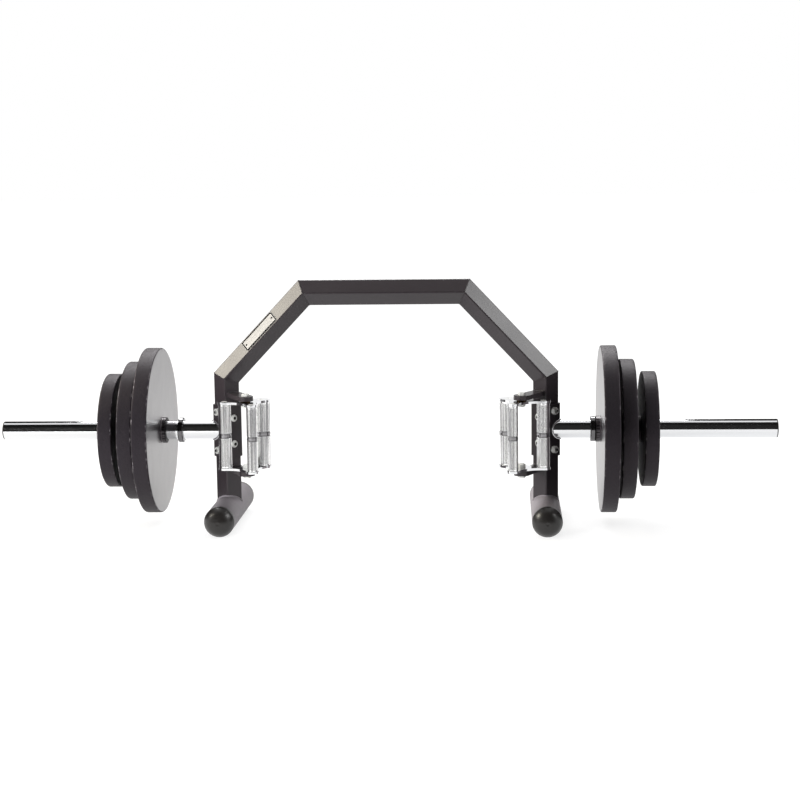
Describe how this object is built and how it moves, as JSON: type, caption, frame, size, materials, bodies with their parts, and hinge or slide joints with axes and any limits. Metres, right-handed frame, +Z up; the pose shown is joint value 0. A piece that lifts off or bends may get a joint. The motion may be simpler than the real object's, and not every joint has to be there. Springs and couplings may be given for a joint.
{
  "type": "hex trap bar",
  "caption": "Open-front trap bar with a half-octagon square-tube frame on round feet, turning grip cages and loaded plate sleeves.",
  "frame": {"origin": "on the floor, midway between the two feet, below the crossbar", "axes": "+X along the sleeves to the right-hand sleeve, +Y away from the lifter's front, where the grips are on the -Y side, +Z up"},
  "size_m": [2.1, 0.45, 0.6645],
  "materials": {
    "black_powder_coat": "satin powder coat",
    "grey_enamel": "satin enamel",
    "black_plastic": "moulded, satin",
    "chrome_plate": "polished",
    "knurled_chrome": "diamond knurled, plated",
    "zinc_plate": "bright zinc plated",
    "bronze": "sintered",
    "painted_iron": "charcoal paint on sand casting",
    "plain_aluminium": "brushed, blank"
  },
  "bodies": {
    "bar": {"crossbar": "black_powder_coat", "name_plate": "plain_aluminium", "name_plate_rivets": "plain_aluminium", "left_diagonal": "black_powder_coat", "left_leg": "black_powder_coat", "left_foot_tube": "grey_enamel", "left_foot_caps": "black_plastic", "left_sleeve_saddle": "black_powder_coat", "left_backing_plate": "black_powder_coat", "left_sleeve": "chrome_plate", "left_stop_ring": "chrome_plate", "left_sleeve_plug": "black_plastic", "left_clamp_bolts": "zinc_plate", "left_clamp_nuts": "zinc_plate", "left_clamp_washers": "zinc_plate", "left_upper_bracket": "black_powder_coat", "left_lower_bracket": "black_powder_coat", "left_pivot_bolts": "zinc_plate", "left_pivot_lock_nuts": "zinc_plate", "left_pivot_nuts": "zinc_plate", "right_diagonal": "black_powder_coat", "right_leg": "black_powder_coat", "right_foot_tube": "grey_enamel", "right_foot_caps": "black_plastic", "right_sleeve_saddle": "black_powder_coat", "right_backing_plate": "black_powder_coat", "right_sleeve": "chrome_plate", "right_stop_ring": "chrome_plate", "right_sleeve_plug": "black_plastic", "right_clamp_bolts": "zinc_plate", "right_clamp_nuts": "zinc_plate", "right_clamp_washers": "zinc_plate", "right_upper_bracket": "black_powder_coat", "right_lower_bracket": "black_powder_coat", "right_pivot_bolts": "zinc_plate", "right_pivot_lock_nuts": "zinc_plate", "right_pivot_nuts": "zinc_plate"},
    "left_cage": {"left_upper_end_plate": "chrome_plate", "left_lower_end_plate": "chrome_plate", "left_thin_grip": "knurled_chrome", "left_medium_grip": "knurled_chrome", "left_thick_grip": "knurled_chrome", "left_grip_screws": "zinc_plate", "left_pivot_bushes": "bronze"},
    "right_cage": {"right_upper_end_plate": "chrome_plate", "right_lower_end_plate": "chrome_plate", "right_thin_grip": "knurled_chrome", "right_medium_grip": "knurled_chrome", "right_thick_grip": "knurled_chrome", "right_grip_screws": "zinc_plate", "right_pivot_bushes": "bronze"},
    "left_large": {"left_large_plate": "painted_iron"},
    "left_medium": {"left_medium_plate": "painted_iron"},
    "left_small": {"left_small_plate": "painted_iron"},
    "right_large": {"right_large_plate": "painted_iron"},
    "right_medium": {"right_medium_plate": "painted_iron"},
    "right_small": {"right_small_plate": "painted_iron"}
  },
  "joints": [
    {"name": "left_cage_turn", "type": "hinge", "parent": "bar", "child": "left_cage", "pos_m": [-0.366, -0.105, 0.258], "axis": [0, 0, 1], "continuous": true},
    {"name": "left_large_slide", "type": "slide", "parent": "bar", "child": "left_large", "axis": [-1, 0, 0], "range_m": [-0.0325, 0.065]},
    {"name": "left_medium_slide", "type": "slide", "parent": "left_large", "child": "left_medium", "axis": [-1, 0, 0], "range_m": [0, 0.085]},
    {"name": "left_small_slide", "type": "slide", "parent": "left_medium", "child": "left_small", "axis": [-1, 0, 0], "range_m": [-0.0125, 0.125]},
    {"name": "right_cage_turn", "type": "hinge", "parent": "bar", "child": "right_cage", "pos_m": [0.366, -0.105, 0.258], "axis": [0, 0, 1], "continuous": true},
    {"name": "right_large_slide", "type": "slide", "parent": "bar", "child": "right_large", "axis": [1, 0, 0], "range_m": [0, 0.07]},
    {"name": "right_medium_slide", "type": "slide", "parent": "right_large", "child": "right_medium", "axis": [1, 0, 0], "range_m": [0, 0.085]},
    {"name": "right_small_slide", "type": "slide", "parent": "right_medium", "child": "right_small", "axis": [1, 0, 0], "range_m": [-0.0125, 0.125]}
  ]
}
